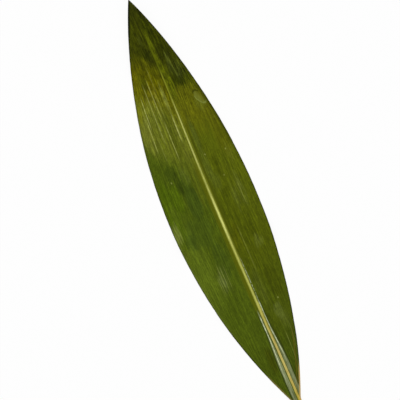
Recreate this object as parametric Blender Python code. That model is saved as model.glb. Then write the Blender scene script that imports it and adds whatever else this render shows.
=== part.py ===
"""A dried bamboo leaf, lying flat with its upper face up.

Metres, +Z up. The midrib runs along Y with the tip at +Y, the wider half of the blade
lies at -X, and the underside rests on Z = 0. A point of the leaf is given by its
distance from the tip along the leaf's axis, and by its distance to one side of the rib.
"""
import math
from collections import namedtuple

import bmesh
import bpy

# The two halves of the blade, on either side of the rib. The margin of each is a full arc
# from the tip to where it runs into the stalk: at a fullness of 1 it is a parabola, below 1
# it is fuller at the ends, and a lean above 1 moves its widest place towards the stalk. The
# half arches up between rib and margin, and its margin goes through this many waves, from
# this phase at the tip.
Half = namedtuple("Half", "side length width fullness lean arch waves phase")
LEFT_HALF = Half(
    side=-1.0, length=0.3560, width=0.0410, fullness=0.93, lean=1.024, arch=0.0038, waves=4.6, phase=-0.15,
)
RIGHT_HALF = Half(
    side=1.0, length=0.3465, width=0.0339, fullness=0.91, lean=1.020, arch=0.0032, waves=3.7, phase=0.15,
)
LEAF_LENGTH = 0.369       # tip to the cut end of the stalk
STALK_WIDTH = 0.0028

# Rib
RIB_BEND = 0.0010         # how far the rib strays to either side of the axis
RIB_BEND_PACE = 1.85      # above 1 the bends crowd towards the tip
KEEL_HALF_WIDTH = 0.0013  # the rib's swelling under the blade
KEEL_SHARE = 0.45         # the most of a narrow half that it takes
KEEL_DEPTH = 0.0011
KEEL_FLAT = 1.15          # above 1 the keel's bottom is pressed flat
STALK_SWELLING = 0.0004
STALK_KEEL_SHARE = 0.93   # the share of the stalk that it takes
STALK_START = 0.900       # where the blade begins to pass into the stalk, as a share of the length
STALK_FULL = 0.945
RIDGE_HEIGHT = 0.00022    # the rib's line on the upper face

# Blade
BLADE_THICKNESS = 0.00024
ARCH_LEAN = 0.85          # below 1 the crest leans towards the rib
PLEATS = 7                # side veins on each half, each the crest of a low pleat
PLEAT_HEIGHT = 0.00009
VEIN_CROWDING = 4.0       # how late the veins bend before they run into the margin

# How the dried blade lies: margins that wave, a tip and a stalk that lift
WAVE_HEIGHT = 0.0024
RIPPLE = 0.35             # a shorter wave, as a share of the first
RIPPLE_PACE = 2.3
TIP_LIFT = 0.0090
TIP_RUN = 0.095
TIP_TWIST = 0.0012
STALK_LIFT = 0.0040
STALK_RUN = 0.045
CONTACT = 0.0004          # how softly the underside meets the table
PRESSED = 0.00003         # what is lower than this lies on the table

# Mesh. The rows run across the leaf, the columns along its veins.
ROWS = 60
ROW_CROWDING = 0.45       # how much closer the rows stand at both ends
RIB_COLUMNS = 3           # on each half, over the keel
BLADE_COLUMNS = 2 * PLEATS
MARGIN_MERGE = 0.0004     # a vein this near the margin has run into it


def smooth_step(low, high, value):
    """0 below low, 1 above high, with soft ends."""
    share = min(max((value - low) / (high - low), 0.0), 1.0)
    return share * share * (3.0 - 2.0 * share)


def margin_distance(half, from_tip):
    """How far the margin of one half lies from the axis. The arc runs on as the stalk."""
    share = min(max(from_tip / half.length, 0.0), 1.0) ** half.lean
    blade = half.width * (4.0 * share * (1.0 - share)) ** half.fullness
    stalk = 0.5 * STALK_WIDTH * smooth_step(0.5, 0.9, from_tip / LEAF_LENGTH)
    return (blade ** 4 + stalk ** 4) ** 0.25


def rib_place(from_tip):
    """Sideways place of the rib: one long bend to the left, then a short one to the right."""
    from_base = 1.0 - from_tip / LEAF_LENGTH
    return -RIB_BEND * math.sin(2.0 * math.pi * from_base ** RIB_BEND_PACE)


def keel_depth(from_tip):
    """How far the rib stands out under the blade: nothing at the tip, most at the stalk."""
    share = from_tip / LEAF_LENGTH
    return KEEL_DEPTH * math.sqrt(share) + STALK_SWELLING * smooth_step(0.92, 0.98, share)


def stalk_part(from_tip):
    """0 in the blade, 1 in the stalk."""
    return smooth_step(STALK_START, STALK_FULL, from_tip / LEAF_LENGTH)


def keel_half_width(from_tip, room):
    """The keel keeps its width, but takes only a share of a narrow half. Most of the stalk is keel."""
    share = KEEL_SHARE + (STALK_KEEL_SHARE - KEEL_SHARE) * stalk_part(from_tip)
    return min(KEEL_HALF_WIDTH, share * room)


def end_lift(half, from_tip, share):
    """The tip and the stalk curl up, and the right margin near the tip a little more."""
    tip = max(1.0 - from_tip / TIP_RUN, 0.0)
    stalk = max(1.0 - (LEAF_LENGTH - from_tip) / STALK_RUN, 0.0)
    twist = TIP_TWIST * half.side * share * math.sin(math.pi * tip) ** 2
    return TIP_LIFT * tip ** 2 + STALK_LIFT * stalk ** 2 + max(twist, 0.0)


def rest_on_table(height, softness):
    """The height, stopped at the table with a soft bend around it."""
    if height >= softness:
        return height
    if height <= -softness:
        return 0.0
    return (height + softness) ** 2 / (4.0 * softness)


def vein_distance(room, widest, line):
    """How far out a vein runs that runs at line where the half is widest.

    Veins keep their distance to the rib. They bend, crowd together and end in the
    margin only where the half, with this much room, is narrower than that.
    """
    if room <= 0.0:
        return 0.0
    crowding = 1.0 - (room / widest) ** VEIN_CROWDING
    distance = line / (1.0 + crowding * (line / room) ** VEIN_CROWDING) ** (1.0 / VEIN_CROWDING)
    return room if room - distance < MARGIN_MERGE else distance


def blade_underside(half, from_tip, share, pleat):
    """Height of the blade's underside, share being 0 at the keel's flank and 1 at the margin.

    In the blade it falls from the keel, arches up between rib and margin, and waves along
    the margin. In the stalk it stays level.
    pleat, from -1 to 1, is the place between two pleats.
    """
    broadness = margin_distance(half, from_tip) / half.width
    turn = 2.0 * math.pi * (half.waves * from_tip / LEAF_LENGTH + half.phase)
    wave = math.sin(turn) + RIPPLE * math.sin(RIPPLE_PACE * turn)
    fall = (1.0 - share) ** 2
    height = keel_depth(from_tip) * (fall + (1.0 - fall) * stalk_part(from_tip))
    height += half.arch * broadness * math.sin(math.pi * share ** ARCH_LEAN)
    height += WAVE_HEIGHT * broadness * share ** 2 * wave
    height += PLEAT_HEIGHT * broadness * pleat * math.sin(math.pi * share)
    return rest_on_table(height, CONTACT * broadness)


def shape_point(across, along):
    """Place of a grid point on the underside, and the leaf's thickness there.

    across runs from -1 at the left margin to 1 at the right one, along from -1 at the
    stalk's end to 1 at the tip.
    """
    row = 0.5 - 0.5 * along
    eased = 0.5 - 0.5 * math.cos(math.pi * row)
    from_tip = LEAF_LENGTH * ((1.0 - ROW_CROWDING) * row + ROW_CROWDING * eased)
    half = LEFT_HALF if across < 0.0 else RIGHT_HALF
    rib = rib_place(from_tip)
    room = max(margin_distance(half, from_tip) - half.side * rib, 0.0)
    keel = keel_half_width(from_tip, room)
    rib_part = RIB_COLUMNS / (RIB_COLUMNS + BLADE_COLUMNS)
    lift = end_lift(half, from_tip, 0.0)
    if abs(across) <= rib_part:
        flank = abs(across) / rib_part
        dome = math.sqrt(max(1.0 - flank ** 2, 0.0))
        depth = keel_depth(from_tip)
        underside = depth * max(1.0 - KEEL_FLAT * dome, 0.0)
        ridge = RIDGE_HEIGHT * dome ** 2 * keel / KEEL_HALF_WIDTH
        place = (rib + half.side * keel * flank, 0.5 * LEAF_LENGTH - from_tip, underside + lift)
        return place, BLADE_THICKNESS + depth + ridge - underside
    line = (abs(across) - rib_part) / (1.0 - rib_part)
    from_keel = vein_distance(room - keel, half.width - KEEL_HALF_WIDTH, line * (half.width - KEEL_HALF_WIDTH))
    share = from_keel / (room - keel) if room > keel else 1.0
    underside = blade_underside(half, from_tip, share, math.cos(2.0 * math.pi * PLEATS * line))
    lift = end_lift(half, from_tip, share)
    place = (rib + half.side * (keel + from_keel), 0.5 * LEAF_LENGTH - from_tip, underside + lift)
    return place, BLADE_THICKNESS


def build_leaf(collection, material):
    """A grid laid over the underside, closed at the tip, and raised to the upper face."""
    mesh = bpy.data.meshes.new("leaf")
    sheet = bmesh.new()
    columns = 2 * (RIB_COLUMNS + BLADE_COLUMNS)
    bmesh.ops.create_grid(sheet, x_segments=columns, y_segments=ROWS, size=1.0)
    thickness = sheet.verts.layers.float.new("thickness")
    for point in sheet.verts:
        point.co, point[thickness] = shape_point(point.co.x, point.co.y)
    bmesh.ops.remove_doubles(sheet, verts=sheet.verts[:], dist=0.000001)

    raised = bmesh.ops.extrude_face_region(sheet, geom=sheet.faces[:])
    for point in raised["geom"]:
        if isinstance(point, bmesh.types.BMVert):
            point.co.z += point[thickness]
    lowest = min(point.co.z for point in sheet.verts)
    middle = 0.5 * (min(point.co.x for point in sheet.verts) + max(point.co.x for point in sheet.verts))
    for point in sheet.verts:
        point.co.x -= middle
        point.co.z -= lowest
        if point.co.z < PRESSED:
            point.co.z = 0.0
    bmesh.ops.recalc_face_normals(sheet, faces=sheet.faces[:])
    if sheet.calc_volume(signed=True) < 0.0:
        bmesh.ops.reverse_faces(sheet, faces=sheet.faces[:])
    sheet.to_mesh(mesh)
    sheet.free()

    mesh.materials.append(material)
    mesh.shade_smooth()
    mesh.set_sharp_from_angle(angle=math.radians(50.0))
    leaf = bpy.data.objects.new("leaf", mesh)
    collection.objects.link(leaf)
    return leaf


def leaf_material():
    """Dull olive green of the dried blade."""
    material = bpy.data.materials.new("dried_leaf")
    material.use_nodes = True
    shader = material.node_tree.nodes["Principled BSDF"]
    shader.inputs["Base Color"].default_value = (0.078, 0.100, 0.010, 1.0)
    shader.inputs["Roughness"].default_value = 0.6
    shader.inputs["Metallic"].default_value = 0.0
    return material


def clear_scene():
    for item in list(bpy.data.objects):
        bpy.data.objects.remove(item)


def main():
    clear_scene()
    collection = bpy.data.collections.new("bamboo_leaf")
    bpy.context.scene.collection.children.link(collection)
    build_leaf(collection, leaf_material())


main()
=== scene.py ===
import bmesh
import bpy
import numpy as np
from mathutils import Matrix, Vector


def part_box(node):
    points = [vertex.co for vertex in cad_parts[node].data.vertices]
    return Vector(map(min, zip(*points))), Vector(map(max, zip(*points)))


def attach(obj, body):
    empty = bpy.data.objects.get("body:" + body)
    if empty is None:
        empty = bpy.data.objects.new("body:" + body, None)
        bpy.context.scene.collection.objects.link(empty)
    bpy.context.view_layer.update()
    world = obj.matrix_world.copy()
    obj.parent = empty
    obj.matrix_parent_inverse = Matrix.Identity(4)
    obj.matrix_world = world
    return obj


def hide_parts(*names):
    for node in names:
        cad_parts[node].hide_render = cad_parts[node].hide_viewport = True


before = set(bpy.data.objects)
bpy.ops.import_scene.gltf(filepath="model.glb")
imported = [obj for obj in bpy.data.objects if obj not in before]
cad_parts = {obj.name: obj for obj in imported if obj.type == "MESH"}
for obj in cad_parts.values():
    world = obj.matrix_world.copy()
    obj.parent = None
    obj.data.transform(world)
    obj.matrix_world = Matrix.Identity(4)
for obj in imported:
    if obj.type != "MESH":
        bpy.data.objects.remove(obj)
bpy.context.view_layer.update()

millimetres = 1000.0  # in a metre

# the two halves of the blade; a fine nerve rises at every second one of their columns
halves = {
    "left": {"side": -1.0, "length": 0.3560, "width": 0.0410, "fullness": 0.93, "lean": 1.024,
             "arch": 0.0038, "waves": 4.6, "phase": -0.15, "columns": 78,
             "puckerSeeds": (10, 30), "wearSeed": 50},
    "right": {"side": 1.0, "length": 0.3465, "width": 0.0339, "fullness": 0.91, "lean": 1.020,
              "arch": 0.0032, "waves": 3.7, "phase": 0.15, "columns": 64,
              "puckerSeeds": (12, 32), "wearSeed": 52},
}

shape = {
    "length": 0.369,  # tip to the cut end of the stalk
    "stalkWidth": 0.0028, "stalkGrows": (0.5, 0.9),  # ranges as shares of the length
    "ribBend": 0.0010, "ribBendPace": 1.85,
    "keelHalfWidth": 0.0013, "keelShare": 0.45,  # the rib's swelling under the blade
    "keelDepth": 0.0011, "keelFlat": 1.15,
    "stalkSwelling": 0.0004, "swellingRange": (0.92, 0.98),
    "stalkKeelShare": 0.93, "stalkRange": (0.900, 0.945),
    "ridgeHeight": 0.00022,  # the rib's line on the upper face
    "thickness": 0.00024,
    "archLean": 0.85,
    "sideVeins": 7, "pleatHeight": 0.00009, "veinCrowding": 4.0,
    "waveHeight": 0.0024, "ripple": 0.35, "ripplePace": 2.3,
    "tipLift": 0.0090, "tipRun": 0.095, "tipTwist": 0.0012,
    "stalkLift": 0.0040, "stalkRun": 0.045,
    "contact": 0.0004,  # how softly the underside meets the table
    "rows": 300, "rowCrowding": 0.45, "ribColumns": 8,
    "marginMerge": 0.00005,  # a nerve this near the margin has run into it
    "nerveHeight": 0.000012, "veinHeight": 0.00004, "veinSharpness": 40,
    "pucker": 0.00010,  # how unevenly the tissue has dried
    "puckerSizes": ((0.006, 0.0028), (0.0025, 0.0014)),  # coarse and fine, along and across
    "fineShare": 0.5,
    "pressedBelow": 0.0006,  # the underside is smooth where it is pressed flat
    "reliefFades": 0.002,  # this near the rib and the margin
    "marginWear": 0.00006, "wearLength": 0.0031, "wearRoom": (0.004, 0.02),
    "ribGroove": 0.00004, "groovePace": 5.0,
    "bandHeight": 0.00010,  # the thick, pale stretches beside the rib
    "bandRange": (0.235, 0.32), "bandSide": (0.002, 0.0055),
    "nearNothing": 1e-9,
    "mergeDistance": 1e-7,
    "sharpAngle": 60.0,
}


def smoothStep(low, high, value):  # 0 below low, 1 above high, 3 t^2 - 2 t^3 between
    share = np.clip((value - low) / (high - low), 0.0, 1.0)
    return share * share * (3.0 - 2.0 * share)


def latticeNoise(u, v, seed):  # seeded values on a lattice of whole numbers, joined by smooth steps
    size = 97
    values = np.random.default_rng(seed).uniform(-1.0, 1.0, (size, size))
    u, v = np.broadcast_arrays(u, v)
    firstU, firstV = np.floor(u).astype(int), np.floor(v).astype(int)
    partU, partV = smoothStep(0.0, 1.0, u - firstU), smoothStep(0.0, 1.0, v - firstV)

    def corner(i, j):
        return values[(firstU + i) % size, (firstV + j) % size]

    near = corner(0, 0) * (1.0 - partU) + corner(1, 0) * partU
    far = corner(0, 1) * (1.0 - partU) + corner(1, 1) * partU
    return near * (1.0 - partV) + far * partV


def marginDistance(half, fromTip):  # width times 4 t (1 - t), to the fullness, run on as the stalk
    share = np.clip(fromTip / half["length"], 0.0, 1.0) ** half["lean"]
    blade = half["width"] * (4.0 * share * (1.0 - share)) ** half["fullness"]
    grown = smoothStep(*shape["stalkGrows"], fromTip / shape["length"])
    stalk = 0.5 * shape["stalkWidth"] * grown
    return (blade ** 4 + stalk ** 4) ** 0.25


def ribPlace(fromTip):  # a sine whose bends crowd towards the tip
    fromBase = 1.0 - fromTip / shape["length"]
    return -shape["ribBend"] * np.sin(2.0 * np.pi * fromBase ** shape["ribBendPace"])


def keelDepth(fromTip):  # the square root of the distance from the tip, and a swelling at the stalk
    share = fromTip / shape["length"]
    swelling = shape["stalkSwelling"] * smoothStep(*shape["swellingRange"], share)
    return shape["keelDepth"] * np.sqrt(share) + swelling


def stalkPart(fromTip):  # 0 in the blade, 1 in the stalk
    return smoothStep(*shape["stalkRange"], fromTip / shape["length"])


def keelHalfWidth(fromTip, room):  # its full width, or a share of a narrow half and most of the stalk
    more = shape["stalkKeelShare"] - shape["keelShare"]
    share = shape["keelShare"] + more * stalkPart(fromTip)
    return np.minimum(shape["keelHalfWidth"], share * room)


def endLift(half, fromTip, share):  # squares of how far a place is into the tip's or the stalk's run
    tip = np.clip(1.0 - fromTip / shape["tipRun"], 0.0, 1.0)
    stalk = np.clip(1.0 - (shape["length"] - fromTip) / shape["stalkRun"], 0.0, 1.0)
    twist = shape["tipTwist"] * half["side"] * share * np.sin(np.pi * tip) ** 2
    lift = shape["tipLift"] * tip ** 2 + shape["stalkLift"] * stalk ** 2
    return lift + np.maximum(twist, 0.0)


def restOnTable(height, softness):  # the height above the table, 0 below it, a parabola between
    softness = np.maximum(softness, shape["nearNothing"])
    bend = (height + softness) ** 2 / (4.0 * softness)
    return np.where(height >= softness, height, np.where(height <= -softness, 0.0, bend))


def nerveDistance(room, widest, line):  # line / (1 + k (line / room)^p)^(1/p), which stays below the room
    power = shape["veinCrowding"]
    crowding = 1.0 - (room / widest) ** power
    crowding = crowding * (line / np.maximum(room, shape["nearNothing"])) ** power
    distance = line / (1.0 + crowding) ** (1.0 / power)
    return np.where(room - distance < shape["marginMerge"], room, distance)


def bladeUnderside(half, fromTip, share, pleat):  # falls from the keel, arches, waves along the margin
    broadness = marginDistance(half, fromTip) / half["width"]
    turn = 2.0 * np.pi * (half["waves"] * fromTip / shape["length"] + half["phase"])
    wave = np.sin(turn) + shape["ripple"] * np.sin(shape["ripplePace"] * turn)
    fall = (1.0 - share) ** 2
    height = keelDepth(fromTip) * (fall + (1.0 - fall) * stalkPart(fromTip))
    height = height + half["arch"] * broadness * np.sin(np.pi * share ** shape["archLean"])
    height = height + shape["waveHeight"] * broadness * share ** 2 * wave
    height = height + shape["pleatHeight"] * broadness * pleat * np.sin(np.pi * share)
    return restOnTable(height, shape["contact"] * broadness)


def ribSurface(half, fromTip, keel):  # a flattened dome below, a low ridge with fine grooves above
    turn = np.linspace(0.0, 0.5 * np.pi, shape["ribColumns"] + 1)
    flank = np.sin(turn)[None, :]  # closest at the sides
    dome = np.sqrt(np.maximum(1.0 - flank ** 2, 0.0))
    depth = keelDepth(fromTip)
    lift = endLift(half, fromTip, 0.0)
    lower = depth * np.maximum(1.0 - shape["keelFlat"] * dome, 0.0)
    ridge = shape["ridgeHeight"] * dome ** 2 * keel / shape["keelHalfWidth"]
    groove = shape["ribGroove"] * np.cos(shape["groovePace"] * np.pi * flank) * (1.0 - flank)
    groove = groove * smoothStep(*shape["stalkGrows"], fromTip / shape["length"])
    upper = shape["thickness"] + depth + ridge + groove
    return keel * flank, shape["keelHalfWidth"] * flank, 0.0 * flank, lower + lift, upper + lift


def bladeSurface(half, fromTip, keel, room):  # columns along the nerves, every second one raised as one
    count = half["columns"]
    widest = half["width"] - shape["keelHalfWidth"]
    index = np.arange(1, count + 1)[None, :]
    line = index / count
    fromKeel = nerveDistance(room - keel, widest, line * widest)
    share = np.where(room > keel, fromKeel / np.maximum(room - keel, shape["nearNothing"]), 1.0)
    pleat = np.cos(2.0 * np.pi * shape["sideVeins"] * line)
    under = bladeUnderside(half, fromTip, share, pleat)

    nerve = shape["nerveHeight"] * np.cos(np.pi * index)
    vein = shape["veinHeight"] * np.maximum(pleat, 0.0) ** shape["veinSharpness"]
    coarse, fine = [latticeNoise(fromTip / along, line * widest / across, seed)
                    for (along, across), seed in zip(shape["puckerSizes"], half["puckerSeeds"])]
    free = smoothStep(0.0, shape["pressedBelow"], under)
    pucker = shape["pucker"] * (coarse + shape["fineShare"] * fine) * free
    fade = np.clip((room - keel - fromKeel) / shape["reliefFades"], 0.0, 1.0)
    fade = fade * np.clip(fromKeel / shape["reliefFades"], 0.0, 1.0)
    band = shape["bandHeight"] * smoothStep(*shape["bandRange"], fromTip)
    band = band * (1.0 - stalkPart(fromTip)) * (1.0 - smoothStep(*shape["bandSide"], fromKeel))
    lift = endLift(half, fromTip, share)
    lower = under + fade * (pucker - free * (vein + nerve))
    upper = under + shape["thickness"] + fade * (pucker + vein + nerve) + band
    line = np.broadcast_to(line, fromKeel.shape)
    return (keel + fromKeel, shape["keelHalfWidth"] + line * widest, shape["sideVeins"] * line,
            lower + lift, upper + lift)


def halfSurface(half, fromTip):  # the rib's columns and the blade's, from the rib's middle to the margin
    rib = ribPlace(fromTip)
    wear = latticeNoise(fromTip / shape["wearLength"], 0.0 * fromTip, half["wearSeed"])
    room = np.maximum(marginDistance(half, fromTip) - half["side"] * rib, 0.0)
    room = room + shape["marginWear"] * wear * smoothStep(*shape["wearRoom"], room)
    keel = keelHalfWidth(fromTip, room)
    pairs = zip(ribSurface(half, fromTip, keel), bladeSurface(half, fromTip, keel, room))
    fromRib, line, vein, lower, upper = [
        np.hstack([np.broadcast_to(part, (len(fromTip), part.shape[1])) for part in pair]) for pair in pairs]
    side = half["side"]
    return {"x": rib + side * fromRib, "lower": lower, "upper": upper, "fromRib": side * fromRib,
            "line": side * line, "vein": vein, "toMargin": room - fromRib}


def leafSurface():  # both halves as one grid of rows, its columns from the left margin to the right one
    row = np.linspace(0.0, 1.0, shape["rows"])[:, None]
    eased = 0.5 - 0.5 * np.cos(np.pi * row)
    crowding = shape["rowCrowding"]
    fromTip = shape["length"] * ((1.0 - crowding) * row + crowding * eased)
    left, right = halfSurface(halves["left"], fromTip), halfSurface(halves["right"], fromTip)
    grid = {key: np.concatenate([left[key][:, :0:-1], right[key]], axis=1) for key in left}
    grid["fromTip"] = np.broadcast_to(fromTip, grid["x"].shape)
    low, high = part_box("leaf")
    grid["x"] = grid["x"] - 0.5 * (grid["x"].min() + grid["x"].max()) + 0.5 * (low[0] + high[0])
    grid["y"] = high[1] - grid["fromTip"]
    return grid


def ringFaces(rows, columns):  # each ring goes over the top and back below, quads join it to the next
    ring = 2 * columns
    start = np.arange(rows - 1)[:, None] * ring
    here = np.arange(ring)[None, :]
    there = (here + 1) % ring
    skin = np.stack([start + here, start + here + ring, start + there + ring, start + there], axis=-1)
    last, step = (rows - 1) * ring, np.arange(columns - 1)
    cut = np.stack([last + step, last + ring - 1 - step, last + ring - 2 - step, last + step + 1], axis=-1)
    return skin.reshape(-1, 4), cut


def addObject(name, data):  # into the scene
    made = bpy.data.objects.new(name, data)
    bpy.context.scene.collection.objects.link(made)
    return made


def setAttribute(mesh, name, values):  # one number a point, which the materials read
    attribute = mesh.attributes.new(name, "FLOAT", "POINT")
    attribute.data.foreach_set("value", values.astype(np.float32))


# where the faces lie on the sheet that the colours are baked to, as shares of it
sheet = {"length": 0.94, "width": 0.45, "border": 0.02, "underside": 0.5, "wall": 0.004,
         "cut": (0.975, 0.5), "cutSize": 0.02}


def layOutSkin(mesh, points, faces, below, place, columns):  # both faces seen from above, side by side
    low, high = points.min(axis=0), points.max(axis=0)
    share = (points - low) / (high - low)
    corners = faces.ravel()
    u = share[corners, 1] * sheet["length"] + sheet["border"]
    v = share[corners, 0] * sheet["width"] + sheet["border"]
    aside = np.zeros((len(faces), 4))
    aside[:len(place)][below] = sheet["underside"]
    aside[:len(place)][place == columns - 1, 2:] = sheet["wall"]
    aside[:len(place)][place == 2 * columns - 1, :2] = -sheet["wall"]
    v = v + aside.ravel()
    cut = np.repeat(np.arange(len(faces)) >= len(place), 4)
    up = (points[corners, 2] - shape["stalkLift"]) / (2.0 * shape["keelDepth"])
    beside = (points[corners, 0] - points[-1, 0]) / (0.5 * shape["stalkWidth"])
    u = np.where(cut, sheet["cut"][0] + sheet["cutSize"] * up, u)
    v = np.where(cut, sheet["cut"][1] + sheet["cutSize"] * beside, v)
    layer = mesh.uv_layers.new(name="OFBake")
    layer.data.foreach_set("uv", np.stack([u, v], axis=-1).astype(np.float32).ravel())


def buildLeaf(upperFace, underside, cutEnd):  # rings of points from the tip to the stalk, the tip one point
    grid = leafSurface()
    rows, columns = grid["x"].shape

    def around(top, bottom):
        return np.concatenate([top, bottom[:, ::-1]], axis=1).ravel()

    def both(key):
        return around(grid[key], grid[key])

    points = np.stack([both("x"), both("y"), around(grid["upper"], grid["lower"])], axis=-1)
    skin, cut = ringFaces(rows, columns)
    faces = np.concatenate([skin, cut])
    mesh = bpy.data.meshes.new("leafSkin")
    mesh.from_pydata(points.tolist(), [], faces.tolist())
    for key in ("fromTip", "fromRib", "toMargin", "line"):
        setAttribute(mesh, key, millimetres * both(key))
    setAttribute(mesh, "vein", both("vein"))

    place = np.arange(len(skin)) % (2 * columns)  # a quad's place along its ring
    below = (place >= columns) & (place < 2 * columns - 1)
    slots = np.concatenate([np.where(below, 1, 0), np.full(len(cut), 2)])
    mesh.polygons.foreach_set("material_index", slots.astype(np.int32))
    layOutSkin(mesh, points, faces, below, place, columns)

    work = bmesh.new()
    work.from_mesh(mesh)
    bmesh.ops.remove_doubles(work, verts=work.verts[:], dist=shape["mergeDistance"])
    volume = work.calc_volume(signed=True) * millimetres ** 3
    print("leaf skin:", len(work.verts), "points,", round(volume), "cubic millimetres")
    work.to_mesh(mesh)
    work.free()
    for material in (upperFace, underside, cutEnd):
        mesh.materials.append(material)
    mesh.shade_smooth()
    mesh.set_sharp_from_angle(angle=np.radians(shape["sharpAngle"]))
    return addObject("leafSkin", mesh)


# From here on the finishes. The first few functions only shorten the making of nodes.

def srgb(red, green, blue):  # a colour of 0 to 255 a channel as the linear one that a shader takes
    value = np.array([red, green, blue]) / 255.0
    linear = np.where(value <= 0.04045, value / 12.92, ((value + 0.055) / 1.055) ** 2.4)
    return (*linear.tolist(), 1.0)


def addNode(tree, kind, inputs, **settings):  # an input is either a socket to link or a value to set
    node = tree.nodes.new(kind)
    for name, value in settings.items():
        setattr(node, name, value)
    for name, value in inputs.items():
        if isinstance(value, bpy.types.NodeSocket):
            tree.links.new(value, node.inputs[name])
        else:
            node.inputs[name].default_value = value
    return node


def placeGroup(tree, name, *inputs):  # one of the node groups below, with its inputs in their order
    return addNode(tree, "ShaderNodeGroup", dict(enumerate(inputs)), node_tree=groups[name]).outputs[0]


def calc(tree, operation, first, second=0.0, third=0.0):
    return addNode(tree, "ShaderNodeMath", {0: first, 1: second, 2: third}, operation=operation).outputs[0]


def product(tree, *factors):
    result = factors[0]
    for factor in factors[1:]:
        result = calc(tree, "MULTIPLY", result, factor)
    return result


def softRange(tree, value, low, high, toLow=0.0, toHigh=1.0):  # a smooth step between two limits
    node = addNode(tree, "ShaderNodeMapRange", {"Value": value, 1: low, 2: high, 3: toLow, 4: toHigh},
                   interpolation_type="SMOOTHSTEP", clamp=False)
    return node.outputs[0]


def distance(tree, x, y):  # the square root of x squared and y squared
    return calc(tree, "SQRT", calc(tree, "MULTIPLY_ADD", x, x, product(tree, y, y)))


def softRanges(tree, value, operation, *ranges):  # the product or the sum of soft ranges
    result = softRange(tree, value, *ranges[0])
    for limits in ranges[1:]:
        result = calc(tree, operation, result, softRange(tree, value, *limits))
    return result


def mixValue(tree, factor, below, above):
    return addNode(tree, "ShaderNodeMix", {0: factor, 2: below, 3: above}).outputs[0]


def mixColour(tree, factor, below, above):  # a name instead of a colour is one of the tones
    above = tones[above] if isinstance(above, str) else above
    return addNode(tree, "ShaderNodeMix", {0: factor, 6: below, 7: above}, data_type="RGBA").outputs[2]


def tint(tree, colour, factor):  # a colour made lighter or darker
    return addNode(tree, "ShaderNodeHueSaturation", {"Color": colour, "Value": factor}).outputs[0]


def tonesAlong(tree, along, stops):  # a ramp of (millimetres, tone) from the tip to the stalk
    length = millimetres * shape["length"]
    made = addNode(tree, "ShaderNodeValToRGB", {0: calc(tree, "DIVIDE", along, length)})
    band = made.color_ramp
    while len(band.elements) < len(stops):
        band.elements.new(0.5)
    for element, (fromTip, tone) in zip(band.elements, stops):
        element.position = fromTip / length
        element.color = tones[tone]
    return made.outputs[0]


def makeGroup(recipe, inputs):  # a node group with the recipe's name, which makes one value of numbers
    group = bpy.data.node_groups.new(recipe.__name__, "ShaderNodeTree")
    for title, default in inputs.items():
        socket = group.interface.new_socket(title, in_out="INPUT", socket_type="NodeSocketFloat")
        socket.default_value = default
    group.interface.new_socket("Value", in_out="OUTPUT", socket_type="NodeSocketFloat")
    value = recipe(group, group.nodes.new("NodeGroupInput").outputs)
    group.links.new(value, group.nodes.new("NodeGroupOutput").inputs[0])
    return group


def fibreNoise(tree, entry):  # noise drawn out along the nerves, steepened around its middle
    across = calc(tree, "DIVIDE", entry["Line"], entry["Width"])
    along = calc(tree, "DIVIDE", entry["From Tip"], entry["Length"])
    place = addNode(tree, "ShaderNodeCombineXYZ", {0: across, 1: along, 2: entry["Seed"]}).outputs[0]
    inputs = {"Vector": place, "Scale": 1.0, "Detail": 2.0, "Roughness": 0.55}
    noise = addNode(tree, "ShaderNodeTexNoise", inputs).outputs[0]
    centred = calc(tree, "SUBTRACT", noise, 0.5)
    value = calc(tree, "MULTIPLY_ADD", centred, entry["Contrast"], 0.5)
    return calc(tree, "MINIMUM", calc(tree, "MAXIMUM", value, 0.0), 1.0)


def softPatch(tree, entry):  # an oval with a soft edge, broken into streaks
    along = calc(tree, "SUBTRACT", entry["From Tip"], entry["Middle"])
    along = calc(tree, "DIVIDE", along, entry["Half Length"])
    across = calc(tree, "SUBTRACT", entry["From Rib"], entry["Beside Rib"])
    across = calc(tree, "DIVIDE", across, entry["Half Width"])
    full = calc(tree, "SUBTRACT", 1.0, entry["Softness"])
    mask = softRange(tree, distance(tree, along, across), 1.0, full)
    return product(tree, mask, mixValue(tree, entry["Streaks"], 1.0, entry["Streak"]), entry["Strength"])


def sideStrip(tree, entry):  # 1 between two values of one place and two of another, with soft ends
    mask = entry["Strength"]
    for place, limit, softness, sign in (
            ("Across", "Inner", "Edge", 1.0), ("Across", "Outer", "Edge", -1.0),
            ("From Tip", "Start", "Run", 1.0), ("From Tip", "End", "Run", -1.0)):
        share = calc(tree, "DIVIDE", calc(tree, "SUBTRACT", entry[place], entry[limit]), entry[softness])
        mask = product(tree, mask, softRange(tree, share, -sign, sign))
    return mask


def veinLines(tree, entry):  # 1 on a side vein, falling off beside it, and a finer wave for the nerves
    wave = calc(tree, "COSINE", product(tree, entry["Vein"], 2.0 * np.pi))
    vein = calc(tree, "POWER", calc(tree, "MAXIMUM", wave, 0.0), entry["Sharpness"])
    turn = product(tree, calc(tree, "DIVIDE", entry["Line"], entry["Nerve Pitch"]), 2.0 * np.pi)
    return calc(tree, "MULTIPLY_ADD", calc(tree, "COSINE", turn), entry["Nerves"], vein)


def ribCore(tree, entry):  # 1 over the rib's pale core, whose half width swells towards the stalk
    halfWidth = softRange(tree, entry["From Tip"], entry["Swells From"], entry["Swells To"],
                          entry["At Tip"], entry["At Stalk"])
    beyond = calc(tree, "SUBTRACT", calc(tree, "ABSOLUTE", entry["From Rib"]), halfWidth)
    return softRange(tree, calc(tree, "DIVIDE", beyond, entry["Softness"]), 1.0, -1.0)


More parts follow.
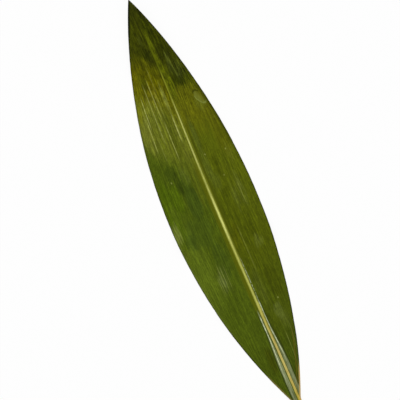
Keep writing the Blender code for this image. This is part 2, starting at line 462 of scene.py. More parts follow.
groups = {recipe.__name__: makeGroup(recipe, inputs) for recipe, inputs in (
    (fibreNoise, {"Line": 0.0, "From Tip": 0.0, "Width": 1.0, "Length": 20.0, "Seed": 0.0, "Contrast": 1.0}),
    (softPatch, {"From Tip": 0.0, "From Rib": 0.0, "Streak": 1.0, "Middle": 0.0, "Beside Rib": 0.0,
                 "Half Length": 10.0, "Half Width": 5.0, "Strength": 1.0, "Softness": 0.6, "Streaks": 0.0}),
    (sideStrip, {"Across": 0.0, "From Tip": 0.0, "Inner": 1.0, "Outer": 2.0, "Start": 0.0, "End": 400.0,
                 "Strength": 1.0, "Edge": 0.3, "Run": 8.0}),
    (veinLines, {"Line": 0.0, "Vein": 0.0, "Sharpness": 30.0, "Nerves": 0.3, "Nerve Pitch": 1.02}),
    (ribCore, {"From Tip": 0.0, "From Rib": 0.0, "At Tip": 0.35, "At Stalk": 1.1, "Swells From": 110.0,
               "Swells To": 215.0, "Softness": 0.3}),
)}
print("node groups:", len(groups))

# the leaf's colours, 0 to 255 a channel; a few of them stand for painted sheen and highlights, as the
# blotches and glints below say
tones = {name: srgb(*channels) for name, channels in {
    "tipEnd": (52, 56, 6), "tipDark": (44, 47, 4), "tipGreen": (60, 65, 3), "mottle": (37, 43, 1),
    "tipShade": (52, 58, 1), "moss": (92, 101, 30), "gold": (95, 94, 1), "goldHighlight": (126, 127, 10),
    "goldSheen": (103, 105, 10), "sheen": (105, 112, 28), "dusk": (86, 94, 16), "deepGreen": (77, 92, 14),
    "freshGreen": (80, 101, 6), "paleFresh": (92, 108, 23), "blueGreen": (64, 81, 20),
    "baseGreen": (69, 82, 11), "olive": (82, 91, 8), "paleOlive": (88, 97, 10), "warmOlive": (96, 98, 9),
    "shadeOlive": (68, 76, 4), "lowOlive": (76, 87, 11), "brown": (92, 84, 2), "ribLight": (96, 104, 8),
    "ribBright": (112, 121, 8), "ribHalo": (100, 103, 8), "ribShade": (78, 84, 8),
    "ribFlank": (112, 117, 26), "pale": (128, 138, 60), "chalk": (164, 172, 122), "glint": (200, 204, 112),
    "paleSheen": (130, 134, 50), "coolOlive": (88, 98, 26), "darkLobe": (58, 73, 12),
    "scar": (120, 126, 50), "waterMark": (98, 109, 40), "ribMoss": (90, 99, 9), "ribDull": (132, 137, 34),
    "ribPale": (182, 185, 96), "ribDim": (170, 175, 82), "ribCream": (217, 220, 124),
    "ribStraw": (192, 194, 97), "ribGold": (194, 184, 88), "ribAmber": (188, 168, 66),
    "ribTan": (206, 194, 110), "flame": (170, 112, 18),
    "bandGrey": (178, 189, 140), "bandWhite": (224, 234, 188), "bandShade": (72, 78, 28),
    "bandEdge": (46, 58, 16), "tan": (214, 178, 108), "marginDark": (28, 34, 1),
    "marginBrown": (112, 96, 26), "underPale": (138, 144, 92), "underRib": (206, 196, 122),
    "straw": (196, 168, 104), "fibreBrown": (118, 90, 44),
}.items()}

# drawn-out noises: width and length in millimetres, seed and contrast
textures = {
    "fray": (1.6, 26, 2, 2.0), "patches": (0.8, 9, 3, 4.0), "tipMottle": (2.0, 7, 27, 3.0),
    "dots": (0.8, 1.7, 5, 4.0), "shortStreaks": (0.7, 8, 8, 5.0), "longStreaks": (0.9, 45, 11, 4.5),
    "shortBands": (2.4, 5, 14, 3.0), "longBands": (2.6, 45, 17, 2.8), "broadBands": (6.0, 30, 20, 2.5),
    "beads": (1.4, 3, 31, 3.5), "dashes": (1.2, 1.8, 66, 7.0), "hatch": (0.45, 8, 50, 6.0),
    "leftRag": (0.7, 14, 39, 2.0), "rightRag": (0.7, 14, 41, 2.0), "leftWear": (1.5, 3, 54, 4.0),
    "rightWear": (1.5, 3, 56, 4.0), "ribGrain": (0.5, 5, 60, 3.0), "flames": (0.6, 9, 64, 5.0),
    "margin": (3.0, 7, 81, 2.5), "relief": (0.7, 5, 5, 3.0), "gloss": (1.6, 14, 90, 2.5),
    "underside": (1.2, 30, 71, 2.5),
}


ribBlend = (-1.0, 1.0)  # where the colours of the halves meet, in millimetres to the right of the rib


def readPlaces(tree):  # the leaf's own measures, as its skin carries them, and which half it is
    places = {name: addNode(tree, "ShaderNodeAttribute", {}, attribute_name=name).outputs["Fac"]
              for name in ("fromTip", "fromRib", "toMargin", "line", "vein")}
    places["onRight"] = softRange(tree, places["fromRib"], *ribBlend)
    places["onLeft"] = calc(tree, "SUBTRACT", 1.0, places["onRight"])
    return places


def fibres(tree, places, name, *limits):  # one of the textures, 0 to 1 or between two other limits
    noise = placeGroup(tree, "fibreNoise", places["line"], places["fromTip"], *textures[name])
    return mixValue(tree, noise, *limits) if limits else noise


# the ground tones, in millimetres from the tip; on the left half the zones run slanting from the rib
upperGround = {
    "leftSlant": 1.1,
    # on the left half the goldSheen and sheen stops paint a soft sheen of reflected light into the colour
    "left": [(0, "tipEnd"), (22, "tipGreen"), (54, "tipGreen"), (78, "gold"), (98, "goldSheen"),
             (114, "sheen"), (136, "sheen"), (162, "deepGreen"), (300, "deepGreen"), (360, "baseGreen")],
    "right": [(0, "tipDark"), (26, "tipShade"), (46, "tipGreen"), (60, "tipGreen"), (75, "shadeOlive"),
              (83, "warmOlive"), (104, "warmOlive"), (124, "paleOlive"), (152, "paleOlive"), (178, "olive"),
              (222, "olive"), (256, "lowOlive"), (280, "lowOlive"), (296, "baseGreen"), (360, "baseGreen")],
    "fray": (-6.0, 6.0),
}

# blotches on that ground: tone, middle from the tip and to the right of the rib, half length, half width,
# strength, how soft the edge is (0.6 if unsaid), and how far streaks break them up (not at all)
blotches = {
    "tipMottleLeft": ("mottle", 45, -4.5, 7, 3.6, 0.75, 0.7),
    "tipMottleRight": ("mottle", 47, 8.5, 8, 6, 0.52, 0.5),
    "tipMoss": ("moss", 60, 9, 13, 2.7, 0.9, 0.6, 0.5),
    "tipSheenLeft": ("moss", 34, -5.5, 7, 2, 0.3, 0.6, 0.5),
    "oliveLeft": ("warmOlive", 51, -9, 6, 3.5, 0.55),
    "shoulderShade": ("mottle", 69, 13, 11, 7.5, 0.6, 0.4),
    "shoulderMoss": ("moss", 65, 14, 11, 6, 0.6, 0.6, 1),
    "goldMargin": ("gold", 66, -22, 20, 7, 0.5),
    "shadeInGold": ("shadeOlive", 64, -16, 8, 4.5, 0.75, 0.6, 0.5),
    "brownStreaks": ("brown", 74, -13, 14, 6, 0.5, 0.6, 0.8),
    "ribLight": ("ribLight", 48, 1.4, 28, 2.2, 0.9),
    "ribLightLow": ("ribLight", 74, 2.5, 24, 4.4, 0.9, 0.8),
    "ribLightMiddle": ("ribBright", 67, 2.8, 12, 1.9, 0.75),
    "shadeGap": ("tipGreen", 70, 6.6, 5, 2.2, 0.7),
    "shoulderEdge": ("tipGreen", 83, 22.5, 5, 3, 0.5),
    "oliveBesideRib": ("warmOlive", 83, 9, 8, 5, 0.75, 0.5),
    # painted sheen: the next four are pale soft reflections on the left half, put into the colour
    "ribSheen": ("paleSheen", 84, -5.1, 19, 1.9, 1, 0.6, 0.3),
    "sheenHigh": ("paleSheen", 88, -16, 18, 12, 0.3, 0.6, 1),
    "sheenMargin": ("paleSheen", 105, -29.5, 20, 6, 0.42, 0.6, 0.6),
    "goldShoulder": ("goldHighlight", 86, -28.5, 10, 5, 0.5, 0.6, 0.3),
    "duskInSheen": ("dusk", 96, -17, 8, 3.5, 0.5),
    "sheenRight": ("sheen", 97, 19.5, 8, 5, 0.6, 0.6, 0.3),
    "duskBesideRib": ("dusk", 106, -10.5, 24, 4, 0.75),
    "duskMiddle": ("dusk", 125, -10.5, 14, 4.5, 0.8),
    "duskPatch": ("dusk", 115, -20, 7, 3.5, 0.6),
    "oliveShoulder": ("warmOlive", 124, 26, 26, 8, 0.6),
    "coolStreakHigh": ("coolOlive", 119, 6.2, 20, 2.8, 0.85, 0.6, 0.2),
    "coolPatch": ("coolOlive", 146, 6, 20, 4, 0.75, 0.6, 0.3),
    "duskTail": ("dusk", 156, -7, 26, 4.5, 0.8, 0.6, 0.3),
    "freshMargin": ("freshGreen", 166, -34, 40, 6.5, 0.8),
    "freshLobe": ("freshGreen", 160, -27, 16, 6, 0.7, 0.4),
    "freshRim": ("paleFresh", 172, -33, 11, 4, 0.55),
    "freshEdge": ("sheen", 205, -35.5, 6, 3, 0.6, 0.6, 0.4),
    "freshBelow": ("paleFresh", 222, -29, 46, 11, 0.9),
    "lobeFirst": ("darkLobe", 140, -23.5, 8, 4.5, 0.5, 0.2),
    "lobeSecond": ("darkLobe", 152.5, -19, 7, 4, 0.6, 0.15),
    "lobeThird": ("blueGreen", 168, -14.5, 14, 6, 0.6, 0.15),
    "lobeFourth": ("blueGreen", 192, -20, 15, 12, 0.42, 0.2),
    "lobeFifth": ("blueGreen", 196, -29, 8, 5, 0.45, 0.15),
    "lobeSixth": ("blueGreen", 219, -12.5, 17, 6, 0.45, 0.2),
    # this row and the one after next: pale streaked patches on the left half; vein glints are laid over the
    # lower one further on
    "paleStreaksHigh": ("pale", 146, -14, 11, 5, 0.28, 0.6, 1),
    "paleMargin": ("pale", 187, -36.5, 11, 3.8, 0.75, 0.6, 0.5),
    "paleStreaksLow": ("chalk", 234, -18, 13, 5, 0.2, 1, 1),
    "shadeStreak": ("shadeOlive", 146, 13.3, 10, 2.4, 0.65, 0.5),
    "coolSpot": ("coolOlive", 159, 8.5, 10, 5, 0.55, 0.6, 0.3),
    "shadeHollow": ("shadeOlive", 171, 11.5, 6, 4, 0.45, 0.4),
    "shoulderLight": ("sheen", 141, 27, 9, 3.5, 0.5, 0.6, 0.4),
    "paleStreaksRight": ("pale", 177, 18, 13, 3.5, 0.24, 0.6, 1),
    "marginLightRight": ("paleOlive", 190, 29, 28, 4.5, 0.8),
    "shadeBelow": ("shadeOlive", 205, 18, 8, 6, 0.6, 0.6, 0.3),
    "shadeSpot": ("shadeOlive", 202, 7, 7, 3, 0.9, 0.6, 0.3),
    "brownPatch": ("brown", 205, 7, 16, 4, 0.2, 0.6, 0.6),
    "lightSpot": ("ribHalo", 211, 3.4, 8, 2, 0.7),
    "palePatch": ("pale", 215, 21, 7, 5, 0.35, 0.6, 0.8),
    "paleSide": ("pale", 172, 24, 18, 4, 0.3, 0.6, 1),
    "shadePatch": ("shadeOlive", 250, 19, 16, 7, 0.6, 0.4),
    "coolPatchLow": ("coolOlive", 251, 7, 22, 4.5, 0.65, 0.6, 0.3),
    "shadeLow": ("tipGreen", 308, -8, 14, 3.8, 0.65),
    "lowPale": ("pale", 280, 15, 14, 6, 0.28, 1, 0.8),
    "waterSpot": ("waterMark", 273, 13, 8, 4, 0.7, 0.3, 0.3),
}


def upperGroundColour(tree, places):  # two ramps along the leaf, with frayed zones, and blotches over them
    along = calc(tree, "ADD", places["fromTip"], fibres(tree, places, "fray", *upperGround["fray"]))
    away = calc(tree, "ABSOLUTE", places["fromRib"])
    slanted = calc(tree, "MULTIPLY_ADD", away, upperGround["leftSlant"], along)
    left = tonesAlong(tree, slanted, upperGround["left"])
    right = tonesAlong(tree, along, upperGround["right"])
    colour = mixColour(tree, places["onRight"], left, right)
    streak = fibres(tree, places, "patches")
    for tone, *look in blotches.values():
        mask = placeGroup(tree, "softPatch", along, places["fromRib"], streak, *look)
        colour = mixColour(tree, mask, colour, tone)
    return colour


# how much lighter and darker each texture makes the upper face
upperStreaks = {"dots": 0.22, "shortStreaks": 0.28, "longStreaks": 0.34, "shortBands": 0.21,
                "longBands": 0.22, "broadBands": 0.10}
streaking = {
    "strength": (70, 160, 1.5, 1.0),  # 1.5 up to 70 mm from the tip, 1 from 160 mm on
    "calmLeftTip": (66, 50, 0.0, -0.2),
    "calmPatch": (120, 17, 30, 15, 0.45, 0.7),  # as a blotch, without a tone
    "mottle": (70, 92, 0.7, 0.0), "mottleOnLeft": 0.8,  # dark spots on the tip
    "beads": (0.45, 1.0),  # how bright the glints are between their beads, and on them
    "glintEnds": (0.25, 5.0),  # how softly a glint ends beside and along its vein
    "specks": (0.35, 0.8),  # their strength, and how soft their edges are
}

# pale broken lines where a vein catches the light, by tone: the vein's place where the half is widest,
# from and to along the leaf, half width and strength
veinGlints = {
    "glint": [(-28.2, 84, 97, 0.3, 0.4), (-26.7, 94, 119, 0.35, 0.6), (-25, 76, 99, 0.35, 0.75),
              (-22.2, 110, 128, 0.3, 0.18), (-18.2, 68, 114, 0.35, 0.42), (-13.6, 66, 96, 0.35, 0.42),
              (-12.4, 102, 130, 0.32, 0.52), (-10.9, 74, 96, 0.3, 0.22), (-9.5, 56, 74, 0.3, 0.18),
              (-4.9, 98, 117, 0.45, 0.75), (-21.6, 232, 246, 0.22, 0.22), (-20.2, 230, 244, 0.22, 0.25),
              (-18.2, 222, 242, 0.26, 0.34), (-16.1, 224, 240, 0.24, 0.26), (-13.4, 224, 242, 0.24, 0.22),
              (23.6, 166, 182, 0.35, 0.16), (9.8, 200, 236, 0.35, 0.13), (18.4, 286, 312, 0.35, 0.18),
              (11.6, 292, 316, 0.35, 0.18)],
    "goldHighlight": [(-20.7, 53, 64, 0.7, 0.55)],
}

# light specks: middle from the tip and to the right of the rib, half length and half width
specks = [(136, 8, 1.05, 0.7), (138, 25, 1.05, 0.7), (157, 16, 0.9, 0.6), (146.7, -25.4, 1.2, 0.8),
          (263.5, 16.9, 1.2, 0.8)]


def upperStreakColour(tree, places, colour):  # streaks, strongest near the tip, then glints and specks
    fromTip, fromRib, onLeft = places["fromTip"], places["fromRib"], places["onLeft"]
    strength = softRange(tree, fromTip, *streaking["strength"])
    calm = product(tree, softRange(tree, fromTip, *streaking["calmLeftTip"]), onLeft)
    still = placeGroup(tree, "softPatch", fromTip, fromRib, 1.0, *streaking["calmPatch"])
    strength = calc(tree, "SUBTRACT", calc(tree, "ADD", strength, calm), still)
    spots = product(tree, fibres(tree, places, "tipMottle", -0.5, 0.5),
                    softRange(tree, fromTip, *streaking["mottle"]),
                    mixValue(tree, onLeft, 1.0, streaking["mottleOnLeft"]))
    colour = tint(tree, colour, calc(tree, "ADD", spots, 1.0))
    for name, depth in upperStreaks.items():
        swing = fibres(tree, places, name, -0.5 * depth, 0.5 * depth)
        colour = tint(tree, colour, calc(tree, "MULTIPLY_ADD", swing, strength, 1.0))
    beads = fibres(tree, places, "beads", *streaking["beads"])
    for tone, glints in veinGlints.items():
        for line, start, end, halfWidth, share in glints:
            glint = placeGroup(tree, "sideStrip", places["line"], fromTip, line - halfWidth,
                               line + halfWidth, start, end, share, *streaking["glintEnds"])
            colour = mixColour(tree, product(tree, glint, beads), colour, tone)
    for speck in specks:
        mask = placeGroup(tree, "softPatch", fromTip, fromRib, 1.0, *speck, *streaking["specks"])
        colour = mixColour(tree, mask, colour, "glint")
    return colour


# a healed round mark on the right half: its place, lean and half sizes in millimetres, then ranges of the
# distance from its middle, of which its half sizes are 1, and of the shares of them along and beside it
scar = {
    "at": (91.6, 21.2), "lean": 0.36, "half": (6.4, 3.3),
    "disc": (1.0, 0.7), "discBeside": (0.9, -0.5), "broken": (0.3, 1.0), "light": 0.80,
    "rim": 0.95, "rimWidth": (0.2, 0.05), "darkAlong": (-0.45, -0.8), "dark": 0.65,
    "litBeside": (0.1, -0.6), "litAlong": (-0.5, -0.1), "farAlong": (0.6, 0.95),
}


def scarColour(tree, places, colour):  # a leaning oval; its rim is dark at the tip's end and lit beside it
    x = calc(tree, "SUBTRACT", places["fromTip"], scar["at"][0])
    y = calc(tree, "SUBTRACT", places["fromRib"], scar["at"][1])
    y = calc(tree, "MULTIPLY_ADD", x, -scar["lean"], y)
    x = calc(tree, "DIVIDE", x, scar["half"][0])
    y = calc(tree, "DIVIDE", y, scar["half"][1])
    reach = distance(tree, x, y)
    disc = product(tree, softRange(tree, reach, *scar["disc"]),
                   softRange(tree, y, *scar["discBeside"]),
                   fibres(tree, places, "patches", *scar["broken"]), scar["light"])
    colour = mixColour(tree, disc, colour, "scar")
    fromRim = calc(tree, "ABSOLUTE", calc(tree, "SUBTRACT", reach, scar["rim"]))
    rim = softRange(tree, fromRim, *scar["rimWidth"])
    dark = product(tree, rim, softRange(tree, x, *scar["darkAlong"]), scar["dark"])
    lit = product(tree, rim, softRange(tree, y, *scar["litBeside"]),
                  softRange(tree, x, *scar["litAlong"]), scar["light"])
    far = product(tree, rim, softRange(tree, x, *scar["farAlong"]), scar["light"])
    colour = mixColour(tree, dark, colour, "mottle")
    return mixColour(tree, calc(tree, "MAXIMUM", lit, far), colour, "pale")


# the thick stretches beside the rib near the stalk, each with a white line at its outer edge: widths and
# strengths change between two distances from the tip
stalkBands = {
    "left": {"side": -1, "starts": (265, 276), "inner": (268, 300, 1.4, 1.6), "outer": (284, 320, 3.2, 4.7),
             "fill": (285, 318, 0.15, 0.62), "lineFades": (328, 310, 0.1, 0.95)},
    "right": {"side": 1, "starts": (254, 265), "inner": (257, 300, 1.1, 1.3), "outer": (277, 312, 2.1, 4.2),
              "fill": (285, 318, 0.2, 0.5), "lineFades": (317, 299, 0.1, 0.95)},
}
bandLook = {
    "ragged": (-0.15, 0.15), "soft": 0.2,  # how far the outer edge strays, and how soft the edges are
    "shadow": (1.3, 0.5), "shadowStrength": 0.65,
    "hatch": (0.4, 1.0), "fillFades": (326, 344, 1.0, 0.68),
    "lineInside": (280, 315, 0.55, 1.1), "lineWidth": (0.58, 0.12), "worn": (0.5, 1.0),
}


def bandColour(tree, places, name, colour):  # grey fibres, a white line outside them, a dark one beyond
    band, fromTip, soft = stalkBands[name], places["fromTip"], bandLook["soft"]
    ownSide = product(tree, places["fromRib"], band["side"])
    rag = fibres(tree, places, name + "Rag", *bandLook["ragged"])
    outer = calc(tree, "ADD", rag, softRange(tree, fromTip, *band["outer"]))
    beyond = calc(tree, "SUBTRACT", ownSide, outer)
    started = softRange(tree, fromTip, *band["starts"])
    shadow = product(tree, softRange(tree, beyond, -soft, soft), softRange(tree, beyond, *bandLook["shadow"]),
                     started, bandLook["shadowStrength"])
    colour = mixColour(tree, shadow, colour, "bandEdge")
    within = calc(tree, "SUBTRACT", ownSide, softRange(tree, fromTip, *band["inner"]))
    inside = product(tree, softRange(tree, within, -soft, soft), softRange(tree, beyond, soft, -soft),
                     started)
    fill = product(tree, fibres(tree, places, "hatch", *bandLook["hatch"]),
                   softRanges(tree, fromTip, "MULTIPLY", band["fill"], bandLook["fillFades"]))
    tone = mixColour(tree, fill, tones["bandShade"], "bandGrey")
    fromLine = calc(tree, "ADD", beyond, softRange(tree, fromTip, *bandLook["lineInside"]))
    line = product(tree, softRange(tree, calc(tree, "ABSOLUTE", fromLine), *bandLook["lineWidth"]),
                   fibres(tree, places, name + "Wear", *bandLook["worn"]),
                   softRange(tree, fromTip, *band["lineFades"]))
    return mixColour(tree, inside, colour, mixColour(tree, line, tone, "bandWhite"))


# strips along the rib: tone, from and to in millimetres to the right, start and end from the tip,
# strength and how soft the edge is
ribStrips = {
    "haloLeft": ("ribHalo", -4, -0.8, 138, 268, 0.7, 1.2),
    "flankLeft": ("ribFlank", -1.8, -0.8, 140, 282, 0.15, 0.35),
    "shadeRight": ("ribShade", 1.9, 3.7, 112, 205, 0.8, 0.6),
    "flankRight": ("ribFlank", 0.8, 2.0, 92, 230, 0.7, 0.35),
    "chalkRight": ("bandWhite", 1.5, 2.1, 226, 258, 0.5, 0.2),
}
coreStrips = {  # the same, laid over the core
    "yellowLeft": ("ribDull", -1.5, -0.45, 138, 262, 0.45, 0.25),
    "yellowRight": ("ribDull", 0.45, 1.5, 150, 200, 0.4, 0.25),
    "dimRight": ("ribFlank", 0.25, 1.3, 200, 262, 0.45, 0.2),
    "dimStalk": ("ribFlank", 0.3, 1.2, 270, 297, 0.75, 0.2),
    "ladder": ("bandEdge", 0.7, 1.5, 236, 286, 0.6, 0.2),
    "middle": ("flame", -0.25, 0.3, 276, 334, 0.3, 0.2),
}
dashedStrips = ("chalkRight", "ladder")

ribLook = {
    "tones": [(0, "tipEnd"), (24, "tipGreen"), (38, "ribMoss"), (58, "ribMoss"), (66, "ribDull"),
              (82, "ribDull"), (100, "ribPale"), (136, "ribPale"), (150, "ribDim"), (166, "ribPale"),
              (178, "ribCream"), (196, "ribCream"), (214, "ribStraw"), (258, "ribStraw"),
              (276, "ribGold"), (290, "ribTan"), (322, "ribTan"), (345, "ribAmber")],
    "core": (0.5, 1.0, 100, 200),  # half width at the tip and the stalk, where it widens
    "swells": [(250, 268, 1.0, 1.22), (280, 296, 0.0, -0.3), (344, 356, 0.0, 0.8)],
    "grain": (0.82, 1.17),
    "flamesStart": (255, 285, 0.0, 0.35), "flamesBeside": (0.35, 0.9),
}


def ribStripColour(tree, places, strips, colour):  # one strip after another, some broken into dashes
    dashes = fibres(tree, places, "dashes")
    for name, (tone, *look) in strips.items():
        mask = placeGroup(tree, "sideStrip", places["fromRib"], places["fromTip"], *look)
        if name in dashedStrips:
            mask = product(tree, mask, dashes)
        colour = mixColour(tree, mask, colour, tone)
    return colour


def upperRibColour(tree, places, colour):  # the bands and strips beside the rib, then its pale core
    fromTip, fromRib = places["fromTip"], places["fromRib"]
    for name in stalkBands:
        colour = bandColour(tree, places, name, colour)
    colour = ribStripColour(tree, places, ribStrips, colour)
    swollen = calc(tree, "DIVIDE", fromRib, softRanges(tree, fromTip, "ADD", *ribLook["swells"]))
    core = placeGroup(tree, "ribCore", fromTip, swollen, *ribLook["core"])
    tone = tonesAlong(tree, fromTip, ribLook["tones"])
    tone = tint(tree, tone, fibres(tree, places, "ribGrain", *ribLook["grain"]))
    flames = product(tree, fibres(tree, places, "flames"), softRange(tree, fromTip, *ribLook["flamesStart"]),
                     softRange(tree, calc(tree, "ABSOLUTE", fromRib), *ribLook["flamesBeside"]))
    colour = mixColour(tree, core, colour, mixColour(tree, flames, tone, "flame"))
    return ribStripColour(tree, places, coreStrips, colour)


# the dark line along the margin: how far it reaches inwards and how soft it ends, then its strength on each
# half and how it fades, between distances from the tip
marginLine = {
    "reach": (0.45, 0.95), "tipReach": (36, 22, 0.0, 1.1), "soft": 0.35,
    "left": [(50, 26, 0.45, 1.0), (212, 236, 0.0, 0.3)], "right": (20, 60, 0.35, 0.7),
    "fades": [(308, 330, 1.0, 0.2), (354, 340)],
}

# strips along the margin: tone, distance from it, gone beyond and full within these distances from there,
# strength on the left and the right half, where it starts along the leaf and, if it does, where it ends
marginStrips = {
    "shade": ("tipShade", 0.0, (3.2, 1.2), (0.0, 0.65), (78, 88), (150, 120)),
    "pale": ("pale", 0.0, (2.6, 0.8), (0.15, 0.0), (172, 190), (300, 268)),
    "nerve": ("marginBrown", 2.9, (0.7, 0.2), (0.0, 0.5), (285, 300), (354, 340)),
    "dry": ("tan", 0.0, (1.75, 0.7), (0.2, 0.75), (314, 328)),
}


def marginColour(tree, places, colour):  # thin dark margins, near black at the tip, tan at the stalk
    fromTip, toMargin, onRight = places["fromTip"], places["toMargin"], places["onRight"]
    reach = fibres(tree, places, "margin", *marginLine["reach"])
    tipReach = product(tree, softRange(tree, fromTip, *marginLine["tipReach"]), places["onLeft"])
    beyond = calc(tree, "SUBTRACT", toMargin, calc(tree, "ADD", reach, tipReach))
    line = softRange(tree, beyond, marginLine["soft"], -marginLine["soft"])
    left = softRanges(tree, fromTip, "ADD", *marginLine["left"])
    right = softRange(tree, fromTip, *marginLine["right"])
    dark = product(tree, line, mixValue(tree, onRight, left, right),
                   softRanges(tree, fromTip, "MULTIPLY", *marginLine["fades"]))
    colour = mixColour(tree, dark, colour, "marginDark")
    for tone, middle, width, strengths, *ends in marginStrips.values():
        away = calc(tree, "ABSOLUTE", calc(tree, "SUBTRACT", toMargin, middle))
        mask = product(tree, softRange(tree, away, *width), mixValue(tree, onRight, *strengths),
                       softRanges(tree, fromTip, "MULTIPLY", *ends))
        colour = mixColour(tree, mask, colour, tone)
    return colour


specular = 0.03  # dried tissue hardly shines


def startMaterial(name, roughness):
    material = bpy.data.materials.new(name)
    material.use_nodes = True
    shader = material.node_tree.nodes["Principled BSDF"]
    shader.inputs["Roughness"].default_value = roughness
    shader.inputs["Specular IOR Level"].default_value = specular
    return material, material.node_tree, shader


def finishRelief(tree, shader, height):  # a height in millimetres
    bump = addNode(tree, "ShaderNodeBump", {"Height": height, "Distance": 1.0 / millimetres, "Strength": 1.0})
    tree.links.new(bump.outputs[0], shader.inputs["Normal"])


# how sharp the veins are and the nerves' share of their height, then heights in millimetres
upperFinish = {
    "veins": (30.0, 0.3), "veinHeight": 0.02, "grainHeight": 0.04,
    "roughness": (0.45, 0.63), "wall": (0.1, 0.5),  # the thin wall at the margin is plain and dull
}


def makeUpperFace():  # the colours above, a relief of veins and grain, and an uneven gloss
    material, tree, shader = startMaterial("driedUpperFace", upperFinish["roughness"][0])
    places = readPlaces(tree)
    colour = upperGroundColour(tree, places)
    for layer in (upperStreakColour, scarColour, upperRibColour, marginColour):
        colour = layer(tree, places, colour)
    tree.links.new(colour, shader.inputs["Base Color"])
    veins = placeGroup(tree, "veinLines", places["line"], places["vein"], *upperFinish["veins"])
    grain = fibres(tree, places, "relief", 0.0, upperFinish["grainHeight"])
    relief = calc(tree, "MULTIPLY_ADD", veins, upperFinish["veinHeight"], grain)
    inside = softRange(tree, places["toMargin"], *upperFinish["wall"])
    finishRelief(tree, shader, product(tree, relief, inside))
    rough = fibres(tree, places, "gloss", *upperFinish["roughness"])
    tree.links.new(mixValue(tree, inside, 1.0, rough), shader.inputs["Roughness"])
    return material


underFinish = {
    "veins": (16.0, 0.25), "veinHeight": 0.05, "veinTint": 0.45,
    "roughness": 0.65, "pale": (0.5, 0.8), "rib": (0.4, 1.3),
}


def makeUnderside():  # the upper face's ground made paler, with pale veins and rib
    material, tree, shader = startMaterial("driedUnderside", underFinish["roughness"])
    places = readPlaces(tree)
    pale = fibres(tree, places, "underside", *underFinish["pale"])
    # the upper face's ground, painted sheen and all, made paler
    colour = mixColour(tree, pale, upperGroundColour(tree, places), "underPale")
    veins = placeGroup(tree, "veinLines", places["line"], places["vein"], *underFinish["veins"])
    colour = mixColour(tree, product(tree, veins, underFinish["veinTint"]), colour, "underRib")
    core = placeGroup(tree, "ribCore", places["fromTip"], places["fromRib"], *underFinish["rib"])
    colour = mixColour(tree, core, colour, "underRib")
    tree.links.new(marginColour(tree, places, colour), shader.inputs["Base Color"])
    finishRelief(tree, shader, product(tree, veins, underFinish["veinHeight"]))
    return material


cutFinish = {"roughness": 0.8, "fibresPerMetre": 5200.0, "dot": (0.35, 0.15)}


def makeCutEnd():  # straw with the ends of darker fibres
    material, tree, shader = startMaterial("cutStalkEnd", cutFinish["roughness"])
    place = addNode(tree, "ShaderNodeTexCoord", {}).outputs["Object"]
    cells = addNode(tree, "ShaderNodeTexVoronoi", {"Vector": place, "Scale": cutFinish["fibresPerMetre"]})
    mask = softRange(tree, cells.outputs["Distance"], *cutFinish["dot"])
    tree.links.new(mixColour(tree, mask, tones["straw"], "fibreBrown"), shader.inputs["Base Color"])
    return material


studio = {
    "floorSize": 3.0,
    "floorHeight": -0.0002,  # just under the leaf
    "floorTone": 0.98,
    "floorShadow": 0.08,  # how much of the floor's real light the camera sees
    "worldStrength": 0.45,
    "lampSize": 0.9,
    "lamps": {  # place and watts
        "windowSide": ((-0.75, 0.55, 1.05), 5.0),
        "farSide": ((0.85, 0.25, 1.0), 3.6),
        "nearSide": ((0.1, -0.95, 1.0), 3.4),
    },
    "lens": 85.0,
    "sensor": 36.0,
    "frameWidth": 0.3184,  # metres across the view at the leaf
    "turn": -23.2,  # degrees, which puts the tip at the upper left
    "aim": (-0.00677, 0.01667, 0.003),
}


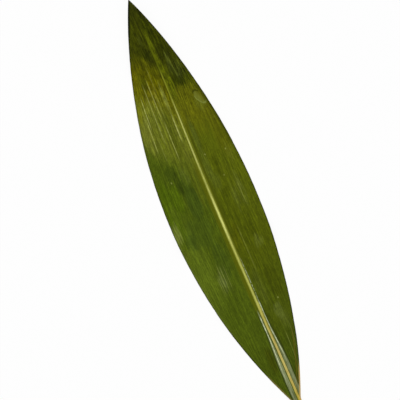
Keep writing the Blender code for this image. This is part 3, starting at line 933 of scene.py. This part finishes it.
def makeFloor():  # glows for the camera, but for a share of its real light, and is plain for the leaf
    half, height = 0.5 * studio["floorSize"], studio["floorHeight"]
    corners = [(x * half, y * half, height) for x, y in ((-1, -1), (1, -1), (1, 1), (-1, 1))]
    mesh = bpy.data.meshes.new("floor")
    mesh.from_pydata(corners, [], [(0, 1, 2, 3)])
    floor = addObject("floor", mesh)
    material = bpy.data.materials.new("paleFloor")
    material.use_nodes = True
    tree = material.node_tree
    tree.nodes.clear()
    tone = studio["floorTone"]
    plain = addNode(tree, "ShaderNodeBsdfDiffuse", {"Color": (tone, tone, tone, 1.0)}).outputs[0]
    glow = addNode(tree, "ShaderNodeEmission", {"Strength": 1.0}).outputs[0]
    path = addNode(tree, "ShaderNodeLightPath", {}).outputs
    seen = calc(tree, "MAXIMUM", path["Is Camera Ray"], path["Is Glossy Ray"])
    seen = calc(tree, "MAXIMUM", seen, path["Is Transmission Ray"])
    share = product(tree, seen, 1.0 - studio["floorShadow"])
    mixed = addNode(tree, "ShaderNodeMixShader", {0: share, 1: plain, 2: glow}).outputs[0]
    addNode(tree, "ShaderNodeOutputMaterial", {0: mixed})
    mesh.materials.append(material)


def makeLight():  # a white world that lights less than it shows, and three round lamps
    world = bpy.data.worlds.new("studioWorld")
    bpy.context.scene.world = world
    world.use_nodes = True
    tree = world.node_tree
    tree.nodes.clear()
    path = addNode(tree, "ShaderNodeLightPath", {}).outputs
    strength = mixValue(tree, path["Is Camera Ray"], studio["worldStrength"], 1.0)
    white = (1.0, 1.0, 1.0, 1.0)
    sky = addNode(tree, "ShaderNodeBackground", {"Color": white, "Strength": strength}).outputs[0]
    addNode(tree, "ShaderNodeOutputWorld", {0: sky})
    for name, (place, watts) in studio["lamps"].items():
        lamp = bpy.data.lights.new(name, "AREA")
        lamp.shape = "DISK"
        lamp.size = studio["lampSize"]
        lamp.energy = watts
        holder = addObject(name, lamp)
        holder.location = place
        holder.rotation_euler = (-Vector(place)).to_track_quat("-Z", "Y").to_euler()


def makeCamera():  # straight above, as high as the lens needs for the width of the view
    data = bpy.data.cameras.new("camera")
    data.lens = studio["lens"]
    data.sensor_width = studio["sensor"]
    camera = addObject("camera", data)
    x, y, z = studio["aim"]
    camera.location = (x, y, z + studio["frameWidth"] * studio["lens"] / data.sensor_width)
    camera.rotation_euler = (0.0, 0.0, np.radians(studio["turn"]))
    bpy.context.scene.camera = camera


def main():
    bpy.context.scene.view_settings.view_transform = "Standard"
    leaf = buildLeaf(makeUpperFace(), makeUnderside(), makeCutEnd())
    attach(leaf, "root")
    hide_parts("leaf")
    makeFloor()
    makeLight()
    makeCamera()
    print("floor, lamps and camera are in place")


main()
